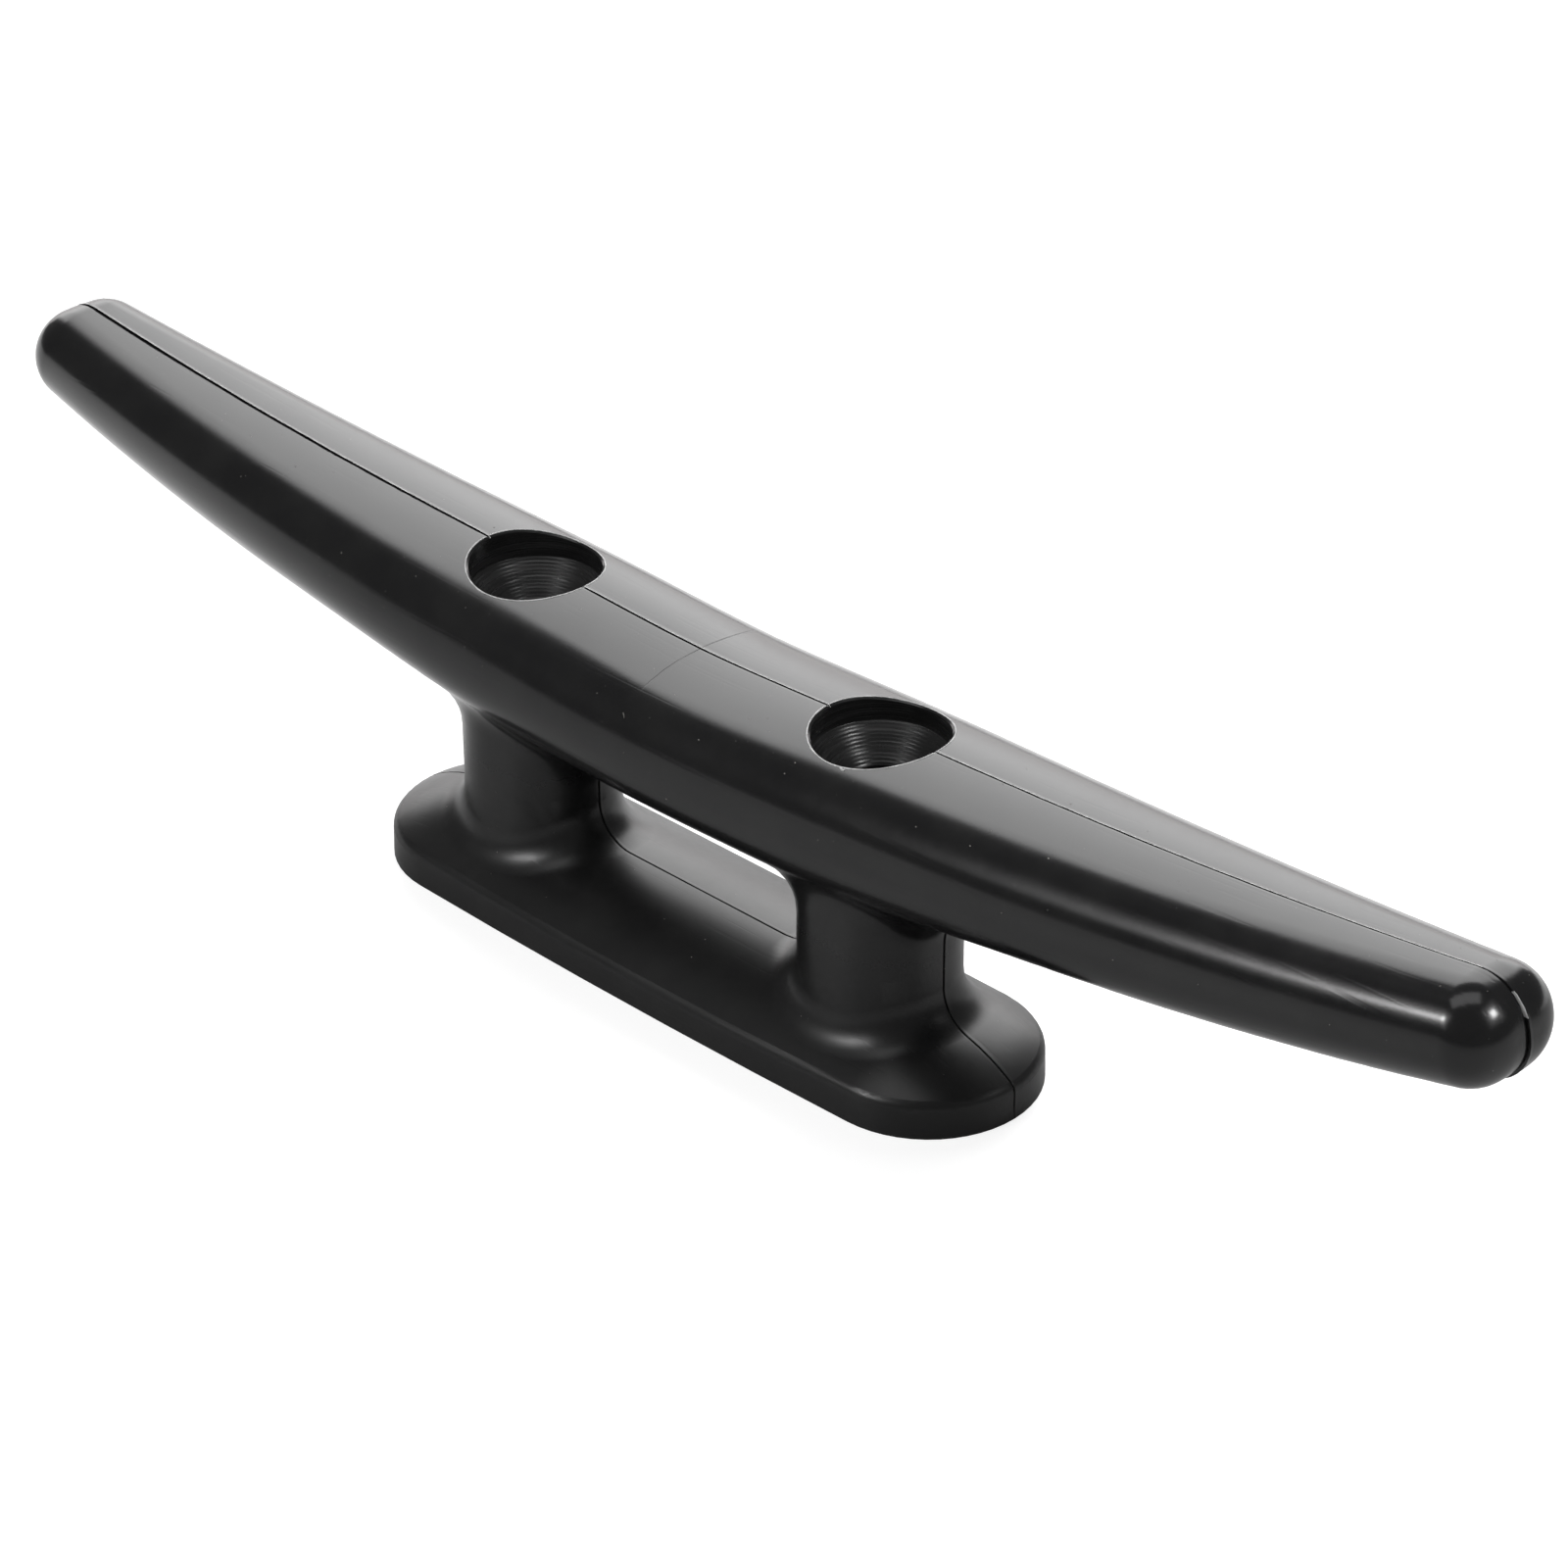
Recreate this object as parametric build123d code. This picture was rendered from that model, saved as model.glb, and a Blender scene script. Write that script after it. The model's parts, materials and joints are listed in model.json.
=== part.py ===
from build123d import *
from math import asin, cos, exp, pi, radians, sin, sqrt, tan
import os

# Two-hole mooring cleat, moulded in one piece. Millimetres. The origin is the centre of the
# underside of the base, X runs along the horns, Z points up and the parting plane is y = 0.

# Horn bar, seen from the side
length = 249.6             # between the middles of the two end faces
mid_height = 44.3          # top line at mid length, above the deck
tip_rise = 7.2             # how far the top line climbs from the middle to a tip
rise_power = 2.4           # how late the climb comes
hole_swell = 1.0           # the top stands this much higher past the screw holes than between them
swell_reach = 21.6         # how far from the middle the swell builds up
tip_round = 6.3            # radius round the end face of each tip
sections_per_horn = 9      # cross-sections that each horn is lofted through, past the middle one

# Horn bar, cut across: a shallow crown above and below, with a round corner at each side
mid_width = 29.4
tip_width = 15.6
width_power = 1.95         # how late the width falls off
crown_radius = 36.0        # across the top and the underside
mid_shoulder = 8.0         # corner between the top and the side
shoulder_power = 2.0       # how late it tightens
mid_keel = 11.0            # corner between the side and the underside
keel_power = 1.2
keel_swell = 2.2           # the keel corner is this much larger over the posts
keel_swell_reach = 18.0    # how far along the bar that fades out
tip_corner = 6.5           # both corners at the tips
full_round = 0.97          # most of a tip corner that the round of the end face may take

# Base
base_length = 105.0
base_end_radius = 14.5
base_bow = 0.6             # how far the long sides bulge past the end radius
base_height = 9.1          # top of the crown at the middle
base_crown_radius = 25.0
base_edge_radius = 1.6
base_draft = 1.5           # degrees

# Posts, oval across
post_length = 21.2
post_width = 19.4
post_root_radius = 5.5     # fillet into the base
post_head_radius = 7.0     # fillet into the bar
waist_height = 16.0        # where the posts are slimmest

# Screw holes
hole_spacing = 60.0
mouth_diameter = 17.0
mouth_depth = 3.8          # below the top line at the hole
sink_angle = 90.0
bore_diameter = 9.0
mouth_edge = 0.25          # eased edge round each mouth


def blend(middle, tip, share, power):
    """value that leaves the middle slowly and reaches the tip's at share 1"""
    return tip + (middle - tip) * (1 - share**power)


def top_line(x):
    """height of the bar's top above the deck"""
    share = abs(x) / (length / 2)
    swell = hole_swell * (1 - exp(-((x / swell_reach) ** 2)))
    return mid_height + tip_rise * share**rise_power + swell


def half_section(x):
    """half width of the bar at x, with its shoulder and keel corners"""
    share = abs(x) / (length / 2)
    half = blend(mid_width, tip_width, share, width_power) / 2
    shoulder = blend(mid_shoulder, tip_corner, share, shoulder_power)
    past_post = (abs(x) - hole_spacing / 2) / keel_swell_reach
    keel = blend(mid_keel, tip_corner, share, keel_power) + keel_swell * exp(-(past_post**2))
    return half, shoulder, keel


def crown(half, corner):
    """rise of a crown over the widest line, and how far it turns before its corner begins"""
    flat = half - corner
    rise = crown_radius - sqrt((crown_radius - corner) ** 2 - flat**2)
    return rise, asin(flat / (crown_radius - corner))


def widest_line(x):
    """height of the widest points of the section at x"""
    half, shoulder, _ = half_section(x)
    rise, _ = crown(half, shoulder)
    return top_line(x) - rise


def section(x):
    """closed oval across the bar, square to its rising centre line"""
    half, shoulder, keel = half_section(x)
    slope = widest_line(x + 0.5) - widest_line(x - 0.5)
    plane = Plane(origin=(x, 0, widest_line(x)), x_dir=(0, 1, 0), z_dir=(1, 0, slope))
    arcs = []
    for up, corner in ((1, shoulder), (-1, keel)):
        rise, turn = crown(half, corner)

        def on_corner(side, angle):
            across = half - corner + corner * sin(angle)
            return plane.from_local_coords((side * across, up * corner * cos(angle), 0))

        top = plane.from_local_coords((0, up * rise, 0))
        arcs.append((on_corner(-1, turn), top, on_corner(1, turn)))
        for side in (-1, 1):
            middle = (turn + pi / 2) / 2
            arcs.append((on_corner(side, turn), on_corner(side, middle), on_corner(side, pi / 2)))
    return Wire([Edge.make_three_point_arc(*arc) for arc in arcs])


def make_bar():
    step = length / 2 / sections_per_horn
    places = [step * count for count in range(-sections_per_horn, sections_per_horn + 1)]
    bar = Solid.make_loft([section(x) for x in places])
    end_faces = bar.faces().sort_by(Axis.X)
    rims = end_faces[0].edges() + end_faces[-1].edges()
    return fillet(rims, min(tip_round, full_round * tip_corner))


def base_outline():
    """stadium with long sides that bulge a little"""
    centre = base_length / 2 - base_end_radius
    half = base_end_radius + base_bow
    side_radius = (centre**2 + half**2 - base_end_radius**2) / (2 * base_bow)
    lean = asin(centre / (side_radius - base_end_radius))
    x = centre + base_end_radius * sin(lean)
    y = base_end_radius * cos(lean)
    end = base_length / 2
    with BuildSketch() as outline:
        with BuildLine():
            ThreePointArc((-x, -y), (0, -half), (x, -y))
            ThreePointArc((x, -y), (end, 0), (x, y))
            ThreePointArc((x, y), (0, half), (-x, y))
            ThreePointArc((-x, y), (-end, 0), (-x, -y))
        make_face()
    return outline.sketch


def make_loaf():
    """rounded loaf whose top is the crown of the base"""
    reach = base_length / 2 - base_end_radius
    axis_z = base_height - base_crown_radius
    barrel = Cylinder(base_crown_radius, 2 * reach, rotation=(0, 90, 0))
    ends = [Pos(side * reach, 0, 0) * Sphere(base_crown_radius) for side in (-1, 1)]
    return Pos(0, 0, axis_z) * (barrel + ends)


def make_posts(bottom, top):
    """oval posts under the two screw holes"""
    posts = []
    for side in (-1, 1):
        oval = Pos(side * hole_spacing / 2, 0, bottom) * Ellipse(post_length / 2, post_width / 2)
        posts.append(extrude(oval, top - bottom))
    return posts


def make_top():
    """bar with the upper halves of the posts, filleted into its rounded underside"""
    bar = make_bar()
    posts = make_posts(waist_height, widest_line(hole_spacing / 2))
    top = bar + posts
    return fillet(new_edges(bar, *posts, combined=top), post_head_radius)


def make_foot():
    """base with the lower halves of the posts, filleted into its crowned top"""
    loaf = make_loaf()
    posts = make_posts(0, waist_height)
    foot = loaf + posts
    foot = fillet(new_edges(loaf, *posts, combined=foot), post_root_radius)
    block = extrude(base_outline(), waist_height, taper=base_draft)
    trimmed = foot & block
    return fillet(new_edges(foot, block, combined=trimmed), base_edge_radius)


def make_hole():
    """mouth, countersink and bore of one screw hole, from above the bar to the underside"""
    mouth_floor = top_line(hole_spacing / 2) - mouth_depth
    sink_depth = (mouth_diameter - bore_diameter) / 2 / tan(radians(sink_angle / 2))
    below = (Align.CENTER, Align.CENTER, Align.MAX)
    above = (Align.CENTER, Align.CENTER, Align.MIN)
    mouth = Cylinder(mouth_diameter / 2, mid_height, align=above)
    sink = Cone(bore_diameter / 2, mouth_diameter / 2, sink_depth, align=below)
    bore = Cylinder(bore_diameter / 2, 2 * mouth_floor, align=below)
    return Pos(0, 0, mouth_floor) * (mouth + sink + bore)


def make_cleat():
    blank = make_top() + make_foot()
    holes = [Pos(side * hole_spacing / 2, 0, 0) * make_hole() for side in (-1, 1)]
    drilled = blank - holes
    new = new_edges(blank, *holes, combined=drilled)
    mouth_rims = [edge for edge in new if edge.center().Z > waist_height]
    return chamfer(mouth_rims, mouth_edge)


cleat = make_cleat()
os.makedirs("parts", exist_ok=True)
export_step(cleat, "parts/cleat.step")
print("cleat", cleat.is_valid, len(cleat.solids()), "volume", round(cleat.volume))
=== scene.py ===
import json
import math
import random

import bmesh
import bpy
import numpy as np
from mathutils import Euler, Matrix, Vector, noise
from mathutils.bvhtree import BVHTree


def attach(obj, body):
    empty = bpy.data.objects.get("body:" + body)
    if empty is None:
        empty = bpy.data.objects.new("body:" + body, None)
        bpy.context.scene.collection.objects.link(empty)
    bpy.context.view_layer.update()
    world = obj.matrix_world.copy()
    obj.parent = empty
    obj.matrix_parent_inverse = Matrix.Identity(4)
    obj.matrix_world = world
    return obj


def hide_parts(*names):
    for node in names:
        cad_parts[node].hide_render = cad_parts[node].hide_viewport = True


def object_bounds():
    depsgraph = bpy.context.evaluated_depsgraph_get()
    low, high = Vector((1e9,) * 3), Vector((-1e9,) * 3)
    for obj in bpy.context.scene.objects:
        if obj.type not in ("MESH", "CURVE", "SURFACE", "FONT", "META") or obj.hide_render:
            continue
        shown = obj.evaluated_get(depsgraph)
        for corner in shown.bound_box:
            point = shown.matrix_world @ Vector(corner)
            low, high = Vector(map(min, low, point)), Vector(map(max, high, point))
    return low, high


# A black moulded mooring cleat on a pale studio floor. Metres; X runs along the horns and the
# parting plane of the moulding is y = 0, as in the CAD. The camera looks from +X and -Y.

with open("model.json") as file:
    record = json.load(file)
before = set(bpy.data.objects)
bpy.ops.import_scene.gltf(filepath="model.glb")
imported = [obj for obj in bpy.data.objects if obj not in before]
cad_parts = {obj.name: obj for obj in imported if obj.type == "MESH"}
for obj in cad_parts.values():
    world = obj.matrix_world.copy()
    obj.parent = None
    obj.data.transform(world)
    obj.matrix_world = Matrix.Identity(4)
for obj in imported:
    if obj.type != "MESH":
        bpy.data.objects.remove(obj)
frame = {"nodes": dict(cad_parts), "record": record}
cad_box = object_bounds()
MM = 0.001

# Camera, fitted to the photograph. Angles in degrees: azimuth 0 looks along +Y.
CAMERA_AZIMUTH = 44.577
CAMERA_ELEVATION = 30.96
CAMERA_ROLL = -0.286
CAMERA_DISTANCE = 0.611707
CAMERA_ASIDE = (0.009701, 0.021558)     # how far its axis passes right of and above the origin
FOCAL_LENGTH = 110.56
SENSOR = 36.0

# Softboxes: layers one before the other, as share of the full size and radiance
EVEN = ((1.0, 1.0), (0.93, 1.0), (0.86, 1.2))
SWEEP = ((1.0, 1.8),)
CARD = ((1.0, 1.35),)
FRONT_GLOW = ((1.0, 0.45), (0.72, 1.0), (0.45, 2.4), (0.25, 22.0))
RIGHT_GLOW = ((1.0, 0.3), (0.72, 0.7), (0.45, 2.4), (0.27, 21.0))
LAYER_GAP = 4 * MM
AIM = Vector((0, 0, 30 * MM))
NEAR_LAMPS = 0.6                        # distance of the small softboxes
FAR_LAMPS = 1.2                         # distance of the large ones
SWEEP_COLOUR = (1.0, 0.965, 0.965)

# Room and floor: white to the camera and through glass, dimmer in reflections
ROOM_LIGHT = 0.07
ROOM_REFLECTED = 0.14
ROOM_SEEN = 1.0
FLOOR_HALF = 4.0
PAPER_GREY = 0.46
PAPER_LIFT = 0.8                        # strength added for the camera and through glass
PAPER_REFLECTED = (0.05, 0.75)          # and for reflections: painted shade before the cleat, a painted pool of light behind it
PAPER_CHANGE = (20 * MM, 90 * MM)       # how far behind it the one becomes the other

# Plastic and dust: a soft noise mixes each pair of colours
NYLON_IOR = 1.53
NYLON_BLACK = ((0.0085, 0.0085, 0.009), (0.0135, 0.0135, 0.0135))
HOLE_BLACK = ((0.011, 0.011, 0.011), (0.019, 0.019, 0.019))
# pale fine edges: partly rubbed wear, partly a painted highlight that the edges catch
SCUFFED_AND_HIGHLIT_GREY = ((0.38, 0.38, 0.38), (0.68, 0.68, 0.68))
DUST_GREY = ((0.16, 0.157, 0.15), (0.50, 0.48, 0.45))
NYLON_ROUGHNESS = (0.33, 0.18)          # of the base and of the bar
ROUGHNESS_CHANGE = (12 * MM, 28 * MM)   # heights between which the one becomes the other
HOLE_ROUGHNESS = (0.22, 0.32)
SCUFFED_AND_HIGHLIT_ROUGHNESS = 0.4
DUST_ROUGHNESS = 0.9
PAPER_ROUGHNESS = 0.5

# Witness line: where two inserts of the mould meet, across the top at mid length
WITNESS_WIDTH = 0.08 * MM
WITNESS_WANDER = 0.8 * MM
WITNESS_HEIGHT = (40.5 * MM, 41.2 * MM)
WITNESS_REACH = (8.5 * MM, 10.5 * MM)   # it fades out between these distances from the middle

# Places on the object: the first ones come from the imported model, and the others are its sizes
mounts = {mount["name"]: mount for mount in frame["record"]["mounts"]}
HOLE_PLACES = [mounts[name]["pos_m"][0] for name in ("screw_bore_left", "screw_bore_right")]
HALF_LENGTH = cad_box[1][0]
MOUTH_RADIUS = 8.5 * MM
RIM_RADIUS = 8.75 * MM                  # outer edge of the eased edge round a mouth
BAR_BOTTOM = 30.0 * MM
BAR_TOP = 44.0 * MM
POST_SIDE = 60.0 * MM                   # no post or base reaches further out than this
UNDERSIDE = 0.05 * MM                   # what lies lower belongs to the flat underside
ABOVE_ALL = 100.0 * MM                  # higher than anything on the cleat

# Smooth normals, by a patch fitted round each vertex
WELD = 0.002 * MM
FEWEST_NEAR = 6                         # neighbours that a fit needs
FEWEST_FOR_CUBIC = 14
LEAST_SPREAD = 0.0001 * MM              # keeps the fit sound where the neighbours lie in a line
MIDDLE_WEIGHT = 0.15                    # the smaller it is, the more the nearest ones count
STEADYING = 1e-7
MOST_CORRECTION = 8.0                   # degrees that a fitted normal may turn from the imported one
SMOOTH_BORDER = 6.0                     # degrees between two faces of the CAD that run on smoothly

# Parting line: how high the skin stands at each distance across it, where its strength is 1
SEAM_PROFILE = [
    (-0.40 * MM, 0.0),
    (-0.17 * MM, -0.02 * MM),
    (-0.07 * MM, -0.20 * MM),
    (0.03 * MM, -0.20 * MM),
    (0.07 * MM, 0.03 * MM),
    (0.16 * MM, 0.045 * MM),
    (0.50 * MM, 0.0),
]
SEAM_LIP = (0.06 * MM, 0.17 * MM)       # the far half's edge, painted pale: partly scuffing, partly a painted highlight on the edge
SEAM_STEP = 2.0 * MM                    # the line's strength changes from one such step to the next
PALE_FROM = 0.75                        # strength from which the edge shows pale

# Its strength: at places along the bar in millimetres, below the bar, and the least
SEAM_ALONG = [
    (-38, 1.5),
    (-34, 1.0),
    (34, 1.0),
    (38, 0.8),
    (70, 1.1),
    (117, 1.1),
    (119, 0.4),
    (122, 0.3),
    (124, 0.6),
]
SEAM_BELOW = 0.5
SEAM_LEAST = 0.25

# Sliver of flash at the end of the right horn, painted pale: partly scuffing, partly a painted
# highlight on its edge
FLASH_FROM = Vector((121.5, 0.03, 48.2)) * MM
FLASH_TO = Vector((125, 0.2, 50.4)) * MM

# The far half of the moulding, which is a little out of line with the near half
FAR_EDGE = 0.065 * MM
FAR_ALONG = 0.35 * MM                   # at the top of the bar, and less below
FAR_UP = 0.04 * MM
FAR_TILT = -0.00072                     # rise per metre along the bar
FAR_FADE = 2.5 * MM                     # from nothing at a rim to all of it
STEP_WALL = (0.02 * MM, 0.08 * MM)      # the step that this leaves lies between these

# Slots of the skin's materials
NYLON, SCUFFED_AND_HIGHLIT, TURNED = range(3)

# Raised lip round each mouth: its section in millimetres, outwards and up
RIM_MIDDLE = 8.83 * MM
RIM_STEPS = 120
RIM_SECTION = [(-0.11, -0.05), (-0.08, 0.04), (0.0, 0.07), (0.08, 0.04), (0.12, -0.05), (0.0, -0.08)]

# Burr: a flake and the curl at its end, by their half length, half width and half height
BURR_PLACE = Vector((31.98, -8.85, 44.2)) * MM
BURR_HALF_SIZE = Vector((0.5, 0.17, 0.13)) * MM
BURR_TURN = -18.0                       # degrees
CURL_OFFSET = Vector((0.33, 0.0, 0.04)) * MM
CURL_HALF_SIZE = Vector((0.2, 0.14, 0.1)) * MM
CURL_TURN = 0.9                         # radians

# Fibre
LINT_PLACE = Vector((-0.5, -13.1, 40.3)) * MM
LINT_LENGTH = 0.75 * MM
LINT_BEND = 0.16 * MM
LINT_TURN = 4.2                         # radians of the wave that it follows
LINT_LIFT = 0.03 * MM
LINT_RADIUS = 0.028 * MM
LINT_TIP = 0.45                         # width of its tips over that of its middle
LINT_STEPS = 8
LINT_SIDES = 5

# Dust: the specks given one by one, in millimetres, and how the others are scattered
SPECKS = [(-26.9, -10.8, 43.2), (-33.3, -10.2, 43.7), (38.2, -2.0, 41.5), (30.0, 8.5, 42.3)]
SPECK_COUNT = 260
SPECK_LEAST = 0.028 * MM                # half width of the smallest
SPECK_MORE = 0.06 * MM                  # what the largest has on top of it
SPECK_LONGEST = 1.8                     # length over width
DUST_SEED = 11
DUST_BOX = Vector((HALF_LENGTH, 15 * MM, 50 * MM))
DUST_AZIMUTH = (45, 75)                 # middle and spread of the directions that the dust faces
DUST_ELEVATION = (8, 75)                # lowest and highest
RAY_START = 0.2                         # rays come from this far away
RAY_END = 0.26


def direction(azimuth, elevation):
    """unit vector towards an azimuth and elevation, in the camera's own convention"""
    a, e = math.radians(azimuth), math.radians(elevation)
    return Vector((math.sin(a) * math.cos(e), -math.cos(a) * math.cos(e), math.sin(e)))


def make_camera():
    turn = Euler((math.radians(90 - CAMERA_ELEVATION), 0, math.radians(CAMERA_AZIMUTH)))
    rotation = turn.to_matrix() @ Matrix.Rotation(math.radians(CAMERA_ROLL), 3, "Z")
    place = rotation @ Vector((*CAMERA_ASIDE, CAMERA_DISTANCE))
    data = bpy.data.cameras.new("camera")
    data.lens = FOCAL_LENGTH
    data.sensor_width = SENSOR
    camera = bpy.data.objects.new("camera", data)
    camera.matrix_world = Matrix.Translation(place) @ rotation.to_4x4()
    bpy.context.scene.collection.objects.link(camera)
    bpy.context.scene.camera = camera


# Shader nodes

def new_material(name):
    """material with its node tree and its shader"""
    material = bpy.data.materials.new(name)
    material.use_nodes = True
    tree = material.node_tree
    return material, tree, tree.nodes["Principled BSDF"]


def feed(tree, value, socket):
    """a number or another node's output into a socket"""
    if isinstance(value, (int, float)):
        socket.default_value = value
    else:
        tree.links.new(value, socket)


def maths(tree, operation, first, second=0.0):
    node = tree.nodes.new("ShaderNodeMath")
    node.operation = operation
    feed(tree, first, node.inputs[0])
    feed(tree, second, node.inputs[1])
    return node.outputs[0]


def ranged(tree, value, span, result=(0.0, 1.0)):
    """smooth step from one range to another"""
    node = tree.nodes.new("ShaderNodeMapRange")
    node.interpolation_type = "SMOOTHSTEP"
    names = ("From Min", "From Max", "To Min", "To Max")
    for name, number in zip(names, (*span, *result)):
        node.inputs[name].default_value = number
    tree.links.new(value, node.inputs["Value"])
    return node.outputs["Result"]


def object_place(tree, scale=(1, 1, 1), turn=0.0):
    """place on the object in metres, stretched and turned if wanted"""
    place = tree.nodes.new("ShaderNodeTexCoord").outputs["Object"]
    mapping = tree.nodes.new("ShaderNodeMapping")
    mapping.inputs["Scale"].default_value = scale
    mapping.inputs["Rotation"].default_value = (0, 0, math.radians(turn))
    tree.links.new(place, mapping.inputs["Vector"])
    return mapping.outputs["Vector"]


def place_axes(tree):
    """the place on the object as separate X, Y and Z"""
    split = tree.nodes.new("ShaderNodeSeparateXYZ")
    tree.links.new(object_place(tree), split.inputs[0])
    return split.outputs


def noise_at(tree, place, scale, detail=2.0):
    """soft noise between 0 and 1, with features of about 1 / scale"""
    node = tree.nodes.new("ShaderNodeTexNoise")
    node.inputs["Scale"].default_value = scale
    node.inputs["Detail"].default_value = detail
    tree.links.new(place, node.inputs["Vector"])
    return node.outputs["Fac"]


def grain(tree, scale, detail=2.0):
    """the same noise, evenly all over the object"""
    return noise_at(tree, object_place(tree), scale, detail)


def unevenness(tree, scale, detail, amount):
    """noise about zero, for adding to a value"""
    centred = maths(tree, "SUBTRACT", grain(tree, scale, detail), 0.5)
    return maths(tree, "MULTIPLY", centred, amount)


def bump(tree, height, depth, below=None):
    """normal that a height turns, on top of another bump if given"""
    node = tree.nodes.new("ShaderNodeBump")
    node.inputs["Distance"].default_value = depth
    tree.links.new(height, node.inputs["Height"])
    if below is not None:
        tree.links.new(below, node.inputs["Normal"])
    return node.outputs["Normal"]


def paint(tree, share, colours, shader):
    """base colour between two colours"""
    node = tree.nodes.new("ShaderNodeMix")
    node.data_type = "RGBA"
    tree.links.new(share, node.inputs["Factor"])
    for name, colour in zip("AB", colours):
        node.inputs[name].default_value = (*colour, 1)
    tree.links.new(node.outputs["Result"], shader.inputs["Base Color"])


def strength_seen(tree, plain, reflected, seen):
    """one strength for bounced light, one for reflections, one for the camera and through glass"""
    rays = tree.nodes.new("ShaderNodeLightPath")
    more = {
        "Is Camera Ray": seen - plain,
        "Is Transmission Ray": seen - plain,
        "Is Glossy Ray": maths(tree, "SUBTRACT", reflected, plain),
    }
    total = plain
    for flag, amount in more.items():
        part = maths(tree, "MULTIPLY", rays.outputs[flag], amount)
        total = maths(tree, "ADD", part, total)
    return total


# Studio

def softbox(name, towards, size, layers, distance, spin=0.0, colour=(1, 1, 1)):
    """rectangular lamp that faces the cleat, brighter in its core if it has more layers"""
    facing = towards.to_track_quat("Z", "Y").to_matrix()
    turned = facing @ Matrix.Rotation(math.radians(spin), 3, "Z")
    for count, (share, radiance) in enumerate(layers):
        data = bpy.data.lights.new(name, "AREA")
        data.shape = "RECTANGLE"
        data.size = size[0] * share
        data.size_y = size[1] * share
        data.energy = radiance * math.pi * data.size * data.size_y
        data.color = colour
        lamp = bpy.data.objects.new(name, data)
        place = AIM + towards * (distance - LAYER_GAP * count)
        lamp.matrix_world = Matrix.Translation(place) @ turned.to_4x4()
        bpy.context.scene.collection.objects.link(lamp)


def make_lights():
    """broad light from behind and overhead, and two small softboxes that glow in the gloss"""
    softbox("far_softbox", direction(-137, 36), (1.75, 1.06), EVEN, FAR_LAMPS)
    softbox("far_sweep", direction(-137, 8), (1.75, 0.25), SWEEP, FAR_LAMPS, colour=SWEEP_COLOUR)
    softbox("front_left_softbox", direction(-16, 31), (0.33, 0.33), FRONT_GLOW, NEAR_LAMPS)
    softbox("right_softbox", direction(100, 36), (0.36, 0.36), RIGHT_GLOW, NEAR_LAMPS)
    softbox("overhead_card", direction(-7, 81), (1.15, 0.5), CARD, FAR_LAMPS, spin=52)


def make_world():
    """dim room that the camera sees as white"""
    world = bpy.data.worlds.new("studio")
    bpy.context.scene.world = world
    world.use_nodes = True
    tree = world.node_tree
    tree.nodes.clear()
    room = tree.nodes.new("ShaderNodeBackground")
    room.inputs["Color"].default_value = (1, 1, 1, 1)
    strength = strength_seen(tree, ROOM_LIGHT, ROOM_REFLECTED, ROOM_SEEN)
    tree.links.new(strength, room.inputs["Strength"])
    out = tree.nodes.new("ShaderNodeOutputWorld")
    tree.links.new(room.outputs[0], out.inputs["Surface"])


def paper():
    """white paper that keeps the shadow and renders white beside it; in reflections it glows with
    painted shade before the cleat and a painted pool of light behind it
    """
    material, tree, shader = new_material("white_paper")
    shader.inputs["Base Color"].default_value = (PAPER_GREY, PAPER_GREY, PAPER_GREY, 1)
    shader.inputs["Roughness"].default_value = PAPER_ROUGHNESS
    shader.inputs["Specular IOR Level"].default_value = 0.5
    behind = tree.nodes.new("ShaderNodeVectorMath")
    behind.operation = "DOT_PRODUCT"
    tree.links.new(object_place(tree), behind.inputs[0])
    behind.inputs[1].default_value = -direction(CAMERA_AZIMUTH, 0)
    # glow seen in reflections: painted shade before the cleat, a painted pool of light behind it
    reflected = ranged(tree, behind.outputs["Value"], PAPER_CHANGE, PAPER_REFLECTED)
    lift = tree.nodes.new("ShaderNodeEmission")
    tree.links.new(strength_seen(tree, 0.0, reflected, PAPER_LIFT), lift.inputs["Strength"])
    add = tree.nodes.new("ShaderNodeAddShader")
    tree.links.new(shader.outputs[0], add.inputs[0])
    tree.links.new(lift.outputs[0], add.inputs[1])
    tree.links.new(add.outputs[0], tree.nodes["Material Output"].inputs["Surface"])
    return material


def make_floor():
    mesh = bpy.data.meshes.new("floor")
    around = ((-1, -1), (1, -1), (1, 1), (-1, 1))
    corners = [(x * FLOOR_HALF, y * FLOOR_HALF, 0) for x, y in around]
    mesh.from_pydata(corners, [], [(0, 1, 2, 3)])
    floor = bpy.data.objects.new("floor", mesh)
    mesh.materials.append(paper())
    bpy.context.scene.collection.objects.link(floor)


# Materials of the cleat

def scratches(tree, turn, spacing, rarity):
    """sparse hairlines along X, turned by an angle about Z"""
    place = object_place(tree, (25, 1 / spacing, 0.5 / spacing), turn)
    return ranged(tree, noise_at(tree, place, 1.0, 0.0), (rarity, rarity + 0.06))


def witness_line(tree):
    """faint line across the top at mid length"""
    axes = place_axes(tree)
    wander = maths(tree, "MULTIPLY", grain(tree, 110.0), WITNESS_WANDER)
    off = maths(tree, "ABSOLUTE", maths(tree, "ADD", axes["X"], wander))
    line = ranged(tree, off, (0.0, WITNESS_WIDTH), (1.0, 0.0))
    above = ranged(tree, axes["Z"], WITNESS_HEIGHT)
    inside = ranged(tree, maths(tree, "ABSOLUTE", axes["Y"]), WITNESS_REACH, (1.0, 0.0))
    return maths(tree, "MULTIPLY", maths(tree, "MULTIPLY", line, above), inside)


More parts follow.
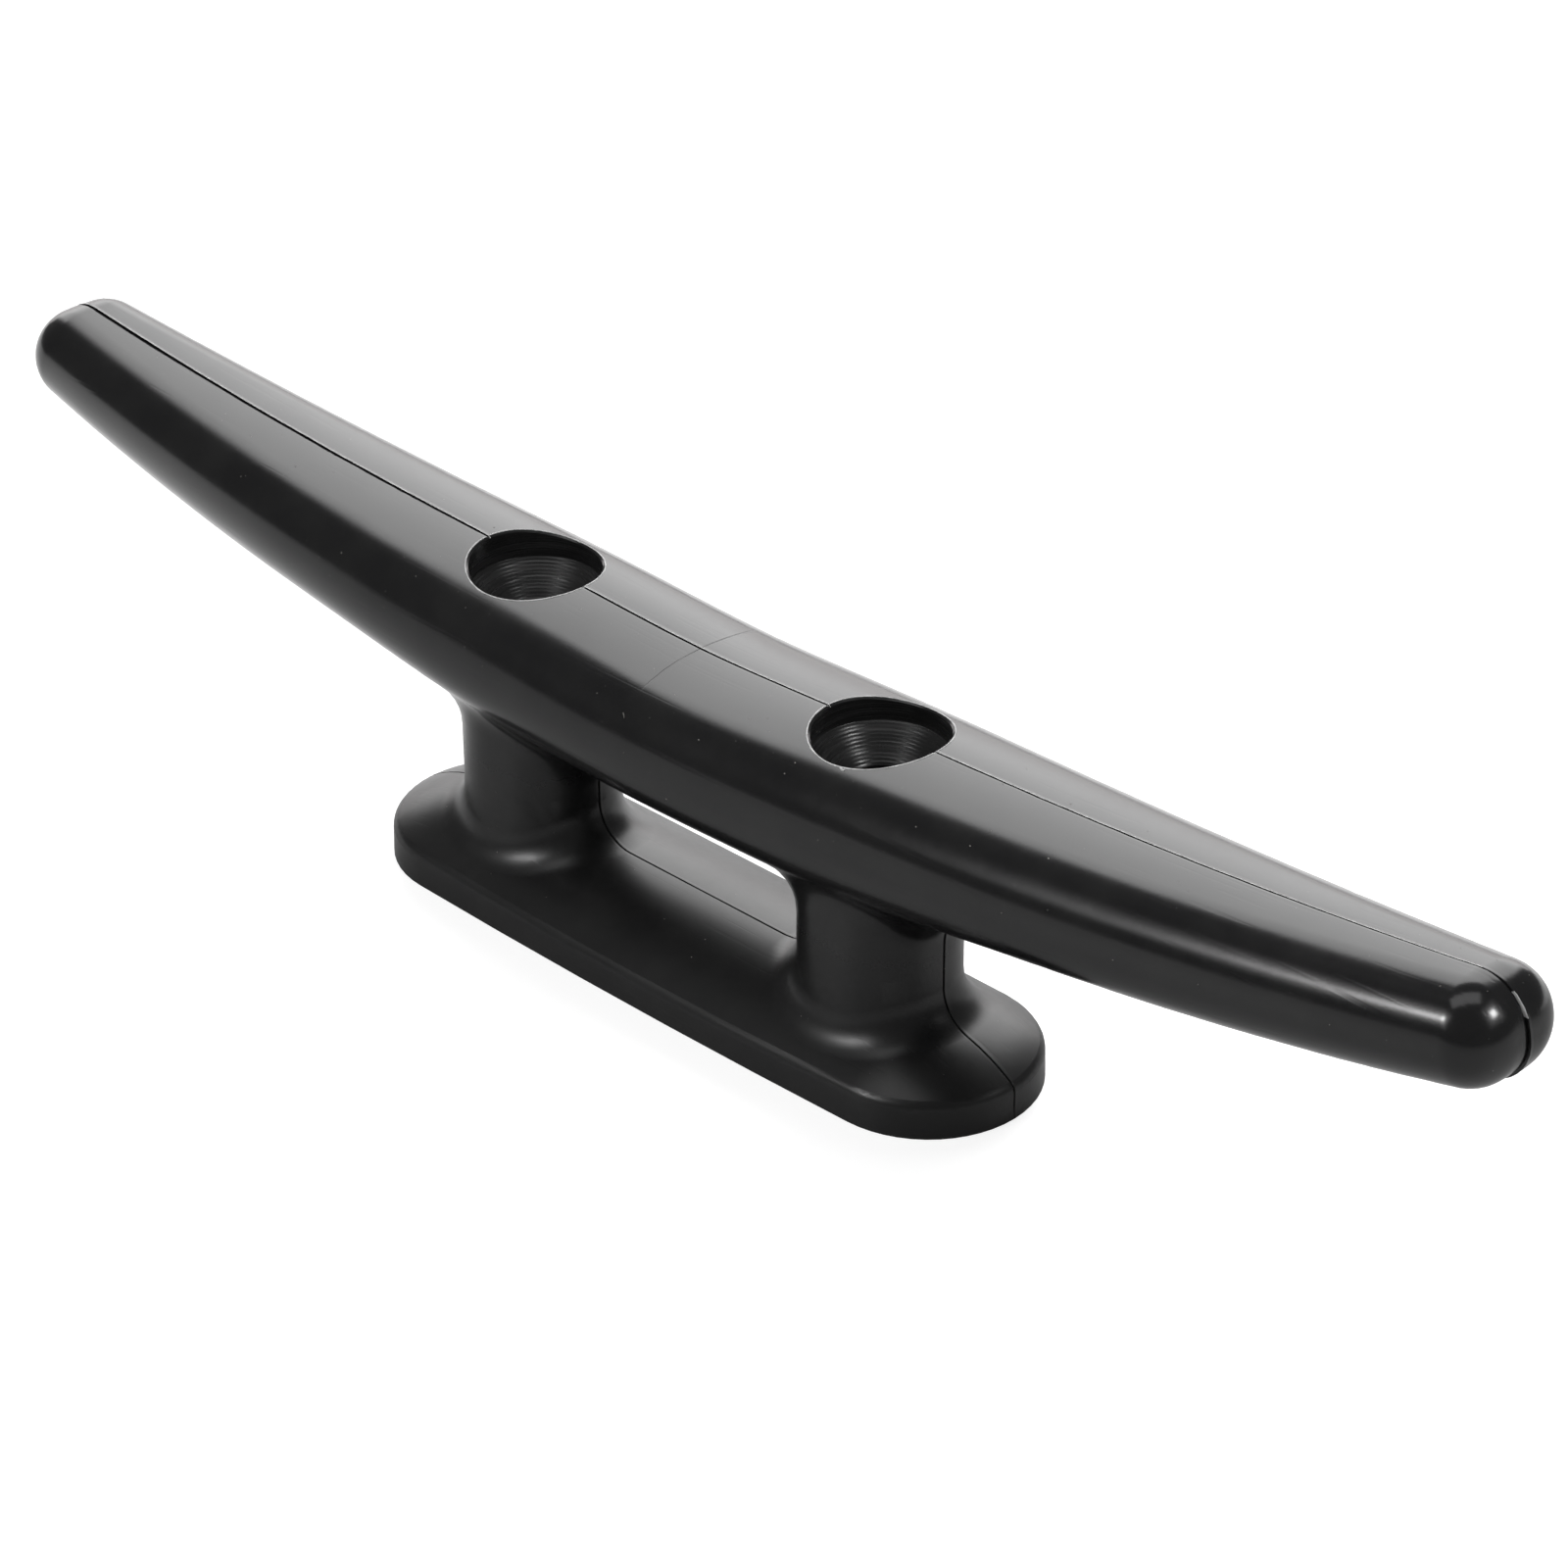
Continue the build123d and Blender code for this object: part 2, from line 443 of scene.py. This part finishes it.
def nylon():
    """black moulded nylon: glossy on the bar, duller on the base, with grain and hairlines"""
    material, tree, shader = new_material("black_nylon")
    shader.inputs["IOR"].default_value = NYLON_IOR
    roughness = ranged(tree, place_axes(tree)["Z"], ROUGHNESS_CHANGE, NYLON_ROUGHNESS)
    roughness = maths(tree, "ADD", roughness, unevenness(tree, 60.0, 3.0, 0.12))
    roughness = maths(tree, "ADD", roughness, unevenness(tree, 900.0, 2.0, 0.06))
    tree.links.new(roughness, shader.inputs["Roughness"])
    film = ranged(tree, grain(tree, 160.0, 4.0), (0.35, 0.75))
    paint(tree, film, NYLON_BLACK, shader)
    normal = bump(tree, grain(tree, 90.0, 1.0), 0.01 * MM)
    normal = bump(tree, grain(tree, 3500.0), 0.0035 * MM, normal)
    normal = bump(tree, scratches(tree, 3.0, 0.5 * MM, 0.70), -0.004 * MM, normal)
    normal = bump(tree, scratches(tree, 62.0, 0.6 * MM, 0.73), -0.003 * MM, normal)
    normal = bump(tree, witness_line(tree), -0.04 * MM, normal)
    tree.links.new(normal, shader.inputs["Normal"])
    return material


def scuffed_and_highlit_nylon():
    """the same nylon painted pale on fine edges: partly rubbed wear, partly a painted highlight that
    these edges catch
    """
    material, tree, shader = new_material("scuffed_and_highlit_nylon")
    shader.inputs["Roughness"].default_value = SCUFFED_AND_HIGHLIT_ROUGHNESS
    shader.inputs["IOR"].default_value = NYLON_IOR
    # pale colour of fine edges: partly scuffing, partly a painted highlight
    pale_mix = ranged(tree, grain(tree, 700.0, 3.0), (0.3, 0.7))
    paint(tree, pale_mix, SCUFFED_AND_HIGHLIT_GREY, shader)
    normal = bump(tree, grain(tree, 5000.0), 0.01 * MM)
    tree.links.new(normal, shader.inputs["Normal"])
    return material


def turned_nylon():
    """the same nylon in the screw holes, with fine rings left by the mould's turned core"""
    material, tree, shader = new_material("turned_nylon")
    shader.inputs["IOR"].default_value = NYLON_IOR
    film = noise_at(tree, object_place(tree, (90, 90, 1300)), 1.0, 3.0)
    film = ranged(tree, film, (0.3, 0.75))
    paint(tree, film, HOLE_BLACK, shader)
    tree.links.new(ranged(tree, film, (0.0, 1.0), HOLE_ROUGHNESS), shader.inputs["Roughness"])
    rings = tree.nodes.new("ShaderNodeTexWave")
    rings.bands_direction = "Z"
    rings.inputs["Scale"].default_value = 900.0
    rings.inputs["Distortion"].default_value = 0.5
    rings.inputs["Detail Scale"].default_value = 0.15
    tree.links.new(object_place(tree), rings.inputs["Vector"])
    uneven = noise_at(tree, object_place(tree, (60, 60, 2200)), 1.0)
    normal = bump(tree, rings.outputs["Fac"], 0.012 * MM)
    normal = bump(tree, uneven, 0.05 * MM, normal)
    tree.links.new(normal, shader.inputs["Normal"])
    return material


def dust_material():
    """pale dry dust and lint"""
    material, tree, shader = new_material("dust")
    shader.inputs["Roughness"].default_value = DUST_ROUGHNESS
    shader.inputs["Specular IOR Level"].default_value = 0.2
    mottle = ranged(tree, grain(tree, 90.0), (0.35, 0.65))
    paint(tree, mottle, DUST_GREY, shader)
    return material


# Normals of the cleat's skin

def neighbours(triangles, count):
    """for every vertex, the vertices within two edges of it on the same face of the CAD"""
    near = [set() for _ in range(count)]
    for a, b, c in triangles:
        near[a].update((b, c))
        near[b].update((a, c))
        near[c].update((a, b))
    wide = []
    for index, ring in enumerate(near):
        both = set().union(ring, *(near[other] for other in ring))
        both.discard(index)
        wide.append(np.fromiter(both, int))
    return wide


def patch_normal(offsets, normal):
    """normal, at the origin, of a cubic patch fitted through the points around it"""
    side = np.cross(normal, (0, 1, 0) if abs(normal[1]) < 0.9 else (1, 0, 0))
    side /= np.linalg.norm(side)
    flat_axes = np.stack([side, np.cross(normal, side)])
    flat = offsets @ flat_axes.T
    height = offsets @ normal
    spread, turn = np.linalg.eigh(flat.T @ flat / len(flat))
    spread = np.sqrt(np.maximum(spread, LEAST_SPREAD**2))
    u, v = (flat @ turn / spread).T
    terms = [u, v, u * u, u * v, v * v]
    if len(offsets) >= FEWEST_FOR_CUBIC:
        terms += [u**3, u * u * v, u * v * v, v**3]
    weight = 1 / (MIDDLE_WEIGHT + np.hypot(u, v))
    table = np.stack(terms, 1) * weight[:, None]
    steadied = table.T @ table + STEADYING * np.eye(len(terms))
    fit = np.linalg.solve(steadied, table.T @ (height * weight))
    slope = turn @ (fit[:2] / spread)
    better = normal - slope @ flat_axes
    return better / np.linalg.norm(better)


def exact_normals(mesh):
    """normals of the smooth surfaces that the facets stand for, one per corner"""
    count = len(mesh.vertices)
    places = np.zeros(count * 3)
    mesh.vertices.foreach_get("co", places)
    places = places.reshape(-1, 3)
    corners = np.zeros(len(mesh.loops), int)
    mesh.loops.foreach_get("vertex_index", corners)
    given = np.zeros(len(mesh.loops) * 3)
    mesh.corner_normals.foreach_get("vector", given)
    normals = np.zeros((count, 3))
    normals[corners] = given.reshape(-1, 3)
    near = neighbours(corners.reshape(-1, 3), count)
    trusted = math.cos(math.radians(MOST_CORRECTION))
    for index in range(count):
        if len(near[index]) < FEWEST_NEAR:
            continue
        offsets = places[near[index]] - places[index]
        first = normals[index]
        for _ in range(2):
            better = patch_normal(offsets, normals[index])
            if better @ first < trusted:
                break
            normals[index] = better
    return normals[corners]


def join_borders(bm, smooth):
    """gives the corners on both sides of a smooth border the same normal"""
    limit = math.cos(math.radians(SMOOTH_BORDER))
    for vert in bm.verts:
        loops = vert.link_loops
        found = [loop[smooth].copy() for loop in loops]
        for loop, own in zip(loops, found):
            alike = [other for other in found if other.dot(own) > limit]
            loop[smooth] = sum(alike, Vector((0, 0, 0))).normalized()


# Parting line

def off_axis(place):
    """distance from the nearer screw hole's axis"""
    return min(math.hypot(place.x - x, place.y) for x in HOLE_PLACES)


def on_seam(place):
    """true where the parting line can run: not in a hole and not on the underside"""
    in_hole = off_axis(place) < MOUTH_RADIUS + 0.02 * MM
    return place.z > UNDERSIDE and not in_hole


def on_flash(place):
    """true on the sliver of flash that is painted pale, partly as a painted highlight"""
    inside = zip(FLASH_FROM, place, FLASH_TO)
    return all(low < value < high for low, value, high in inside)


def seam_strength(place):
    """how marked the parting line is at a place"""
    x, z = place.x / MM, place.z / MM
    strength = float(np.interp(x, *zip(*SEAM_ALONG)))
    if place.z < BAR_BOTTOM and abs(place.x) < POST_SIDE:
        strength = SEAM_BELOW
    strength *= 1 + 0.22 * noise.noise(Vector((x * 0.06, 3.1, z * 0.06)))
    strength += 0.12 * noise.noise(Vector((x * 0.4, 7.7, z * 0.4)))
    return max(SEAM_LEAST, strength)


def seam_height(y):
    """height of the skin across the parting line, and its slope there"""
    for (y0, h0), (y1, h1) in zip(SEAM_PROFILE, SEAM_PROFILE[1:]):
        if y0 <= y <= y1:
            slope = (h1 - h0) / (y1 - y0)
            return h0 + slope * (y - y0), slope
    return 0.0, 0.0


def crossing(faces, axis, place):
    """the faces that a plane across an axis cuts"""
    cut = []
    for face in faces:
        values = [vert.co[axis] for vert in face.verts]
        if min(values) < place < max(values):
            cut.append(face)
    return cut


def cut_across(bm, faces, axis, place):
    """cuts the faces by a plane across an axis; returns the vertices on the cut"""
    crossed = crossing(faces, axis, place)
    geometry = set(crossed)
    for face in crossed:
        geometry.update(face.verts)
        geometry.update(face.edges)
    across = Vector((0, 0, 0))
    across[axis] = 1
    made = bmesh.ops.bisect_plane(
        bm, geom=list(geometry), dist=1e-8, plane_co=across * place, plane_no=across
    )
    return [item for item in made["geom_cut"] if isinstance(item, bmesh.types.BMVert)]


def beside_seam(face):
    """true on the strip that the parting line's profile covers"""
    return SEAM_PROFILE[0][0] < face.calc_center_median().y < SEAM_PROFILE[-1][0]


def cut_seam(bm):
    """cuts the skin along the parting line, finely enough for its groove and lip"""
    for y, _ in SEAM_PROFILE:
        cut_across(bm, bm.faces, 1, y)
    strip = {face for face in bm.faces if beside_seam(face)}
    for x in np.arange(-HALF_LENGTH, HALF_LENGTH, SEAM_STEP):
        for vert in cut_across(bm, strip, 0, x):
            strip.update(face for face in vert.link_faces if beside_seam(face))


def form_seam(bm, smooth):
    """groove and lip of the parting line, in geometry; returns the faces painted pale: partly
    scuffing, partly a painted highlight on the lip and the flash
    """
    scuffed_and_highlit_faces = set()
    for face in bm.faces:
        middle = face.calc_center_median()
        if not beside_seam(face) or not on_seam(middle):
            continue
        _, slope = seam_height(middle.y)
        for loop in face.loops:
            tilt = slope * seam_strength(loop.vert.co)
            loop[smooth] = (loop[smooth] - Vector((0, tilt, 0))).normalized()
        # the lip and the flash are painted pale: partly scuffing, partly a painted highlight
        on_lip = SEAM_LIP[0] < middle.y < SEAM_LIP[1]
        if on_flash(middle) or (on_lip and seam_strength(middle) > PALE_FROM):
            scuffed_and_highlit_faces.add(face)
    moves = {}
    for vert in bm.verts:
        height, _ = seam_height(vert.co.y)
        if height and on_seam(vert.co):
            outward = sum((loop[smooth] for loop in vert.link_loops), Vector((0, 0, 0)))
            outward.y = 0
            moves[vert] = outward.normalized() * height * seam_strength(vert.co)
    for vert, move in moves.items():
        vert.co += move
    return scuffed_and_highlit_faces


def shift_far_half(bm, smooth):
    """moves the far half a little out of line, so that its edge stands as a fine step"""
    for vert in bm.verts:
        if vert.co.y < FAR_EDGE:
            continue
        free = min(max((off_axis(vert.co) - RIM_RADIUS) / FAR_FADE, 0.0), 1.0)
        free *= min(vert.co.z / BAR_TOP, 1.0)
        vert.co += Vector((FAR_ALONG, 0, FAR_UP + FAR_TILT * vert.co.x)) * free
    bm.normal_update()
    for face in bm.faces:
        ys = [vert.co.y for vert in face.verts]
        steep = min(ys) > STEP_WALL[0] and max(ys) < STEP_WALL[1]
        if steep and on_seam(face.calc_center_median()):
            for loop in face.loops:
                loop[smooth] = face.normal


# The cleat

def place_piece(piece, node=None):
    """links a piece of the visual model to the shared frame"""
    bpy.context.scene.collection.objects.link(piece)
    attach(piece, "root")
    if node is not None:
        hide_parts(node)


def material_of(face, scuffed_and_highlit_faces):
    """slot of the material that a face of the skin has"""
    middle = face.calc_center_median()
    if face in scuffed_and_highlit_faces:
        return SCUFFED_AND_HIGHLIT
    if off_axis(middle) < MOUTH_RADIUS and middle.z > UNDERSIDE:
        return TURNED
    return NYLON


def open_mesh(node):
    """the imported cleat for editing, with its facets joined and its smooth normals in a layer"""
    source = node.data.copy()
    layer = source.attributes.new("smooth", "FLOAT_VECTOR", "CORNER")
    layer.data.foreach_set("vector", exact_normals(node.data).ravel())
    bm = bmesh.new()
    bm.from_mesh(source)
    bpy.data.meshes.remove(source)
    bmesh.ops.remove_doubles(bm, verts=bm.verts[:], dist=WELD)
    bm.normal_update()
    smooth = bm.loops.layers.float_vector["smooth"]
    join_borders(bm, smooth)
    return bm, smooth


def make_skin(node):
    """the cleat with its parting line; returns a tree that finds places on it"""
    bm, smooth = open_mesh(node)
    cut_seam(bm)
    scuffed_and_highlit_faces = form_seam(bm, smooth)
    for face in bm.faces:
        face.material_index = material_of(face, scuffed_and_highlit_faces)
        face.smooth = True
    shift_far_half(bm, smooth)
    bmesh.ops.triangulate(bm, faces=bm.faces[:])
    mesh = bpy.data.meshes.new("cleat_skin")
    bm.to_mesh(mesh)
    tree = BVHTree.FromBMesh(bm)
    bm.free()
    normals = np.zeros(len(mesh.loops) * 3, np.float32)
    mesh.attributes["smooth"].data.foreach_get("vector", normals)
    mesh.normals_split_custom_set(normals.reshape(-1, 3))
    mesh.attributes.remove(mesh.attributes["smooth"])
    for material in (nylon(), scuffed_and_highlit_nylon(), turned_nylon()):
        mesh.materials.append(material)
    place_piece(bpy.data.objects.new("cleat_skin", mesh), "cleat")
    return tree


# Small things on the skin

def piece_from(bm, name, material):
    mesh = bpy.data.meshes.new(name)
    for face in bm.faces:
        face.smooth = True
    bm.to_mesh(mesh)
    bm.free()
    mesh.materials.append(material)
    place_piece(bpy.data.objects.new(name, mesh))


def lay_blob(bm, place, normal, size, turn, detail=1):
    """flattened lump that lies on the skin"""
    facing = normal.to_track_quat("Z", "Y").to_matrix().to_4x4()
    scale = Matrix.Diagonal((*size, 1))
    matrix = Matrix.Translation(place) @ facing @ Matrix.Rotation(turn, 4, "Z") @ scale
    bmesh.ops.create_icosphere(bm, subdivisions=detail, radius=1.0, matrix=matrix)


def tube(bm, rings, closed):
    """skin over rings of vertices"""
    after = rings[1:] + rings[:1] if closed else rings[1:]
    for ring, following in zip(rings, after):
        for one in range(len(ring)):
            two = (one + 1) % len(ring)
            bm.faces.new((ring[one], ring[two], following[two], following[one]))
    if not closed:
        bm.faces.new(rings[0][::-1])
        bm.faces.new(rings[-1])
    bmesh.ops.recalc_face_normals(bm, faces=bm.faces[:])
    bmesh.ops.triangulate(bm, faces=bm.faces[:])


def make_dust(tree, material):
    """specks of dust, most of them on the near side and the top"""
    chance = random.Random(DUST_SEED)
    spots = [tree.find_nearest(Vector(place) * MM)[:2] for place in SPECKS]
    while len(spots) < SPECK_COUNT:
        towards = direction(chance.gauss(*DUST_AZIMUTH), chance.uniform(*DUST_ELEVATION))
        share = (chance.uniform(-1, 1), chance.uniform(-1, 1), chance.uniform(0, 1))
        start = Vector(share) * DUST_BOX + towards * RAY_START
        place, normal, _, distance = tree.ray_cast(start, -towards)
        if place is not None and distance < RAY_END:
            spots.append((place, normal))
    bm = bmesh.new()
    for place, normal in spots:
        half = SPECK_LEAST + SPECK_MORE * chance.random() ** 3
        size = (half * chance.uniform(1, SPECK_LONGEST), half, half * 0.5)
        lay_blob(bm, place, normal, size, chance.uniform(0, math.pi))
    piece_from(bm, "dust", material)


def make_lint(tree, material):
    """one short curled fibre"""
    place, normal = tree.find_nearest(LINT_PLACE)[:2]
    along = normal.cross(Vector((1, 0.3, 0))).normalized()
    aside = normal.cross(along)
    path = []
    for count in range(LINT_STEPS + 1):
        share = count / LINT_STEPS - 0.5
        bend = LINT_BEND * math.sin(share * LINT_TURN)
        path.append(place + along * share * LINT_LENGTH + aside * bend + normal * LINT_LIFT)
    bm = bmesh.new()
    rings = []
    for count, point in enumerate(path):
        before = path[max(count - 1, 0)]
        after = path[min(count + 1, LINT_STEPS)]
        facing = (after - before).to_track_quat("Z", "Y")
        radius = LINT_RADIUS * (LINT_TIP if count in (0, LINT_STEPS) else 1)
        ring = []
        for side in range(LINT_SIDES):
            angle = 2 * math.pi * side / LINT_SIDES
            corner = Vector((math.cos(angle), math.sin(angle), 0)) * radius
            ring.append(bm.verts.new(point + facing @ corner))
        rings.append(ring)
    tube(bm, rings, False)
    piece_from(bm, "lint", material)


def make_rim_lips(tree, material):
    """fine raised lip round the mouth of each screw hole, painted pale: partly scuffing, partly a
    painted highlight
    """
    bm = bmesh.new()
    for x in HOLE_PLACES:
        rings = []
        for count in range(RIM_STEPS):
            angle = 2 * math.pi * count / RIM_STEPS
            out = Vector((math.cos(angle), math.sin(angle), 0))
            above = Vector((x, 0, ABOVE_ALL)) + out * RIM_MIDDLE
            place, normal = tree.ray_cast(above, Vector((0, 0, -1)))[:2]
            across = (out - normal * out.dot(normal)).normalized()
            uneven = MM * (1 + 0.35 * noise.noise(out * 3 + Vector((0, 0, x * 900))))
            points = [place + (across * aside + normal * up) * uneven for aside, up in RIM_SECTION]
            rings.append([bm.verts.new(point) for point in points])
        tube(bm, rings, True)
    piece_from(bm, "rim_lips", material)


def make_burr(tree, material):
    """curled flake at the near rim of the right hole"""
    place, normal = tree.find_nearest(BURR_PLACE)[:2]
    bm = bmesh.new()
    lay_blob(bm, place, normal, BURR_HALF_SIZE, math.radians(BURR_TURN), 2)
    lay_blob(bm, place + CURL_OFFSET, normal, CURL_HALF_SIZE, CURL_TURN, 2)
    piece_from(bm, "burr", material)


bpy.context.scene.view_settings.view_transform = "Standard"
make_camera()
make_world()
make_lights()
make_floor()
skin_tree = make_skin(frame["nodes"]["cleat"])
dust = dust_material()
make_dust(skin_tree, dust)
make_lint(skin_tree, dust)
make_rim_lips(skin_tree, bpy.data.materials["scuffed_and_highlit_nylon"])
make_burr(skin_tree, bpy.data.materials["scuffed_and_highlit_nylon"])
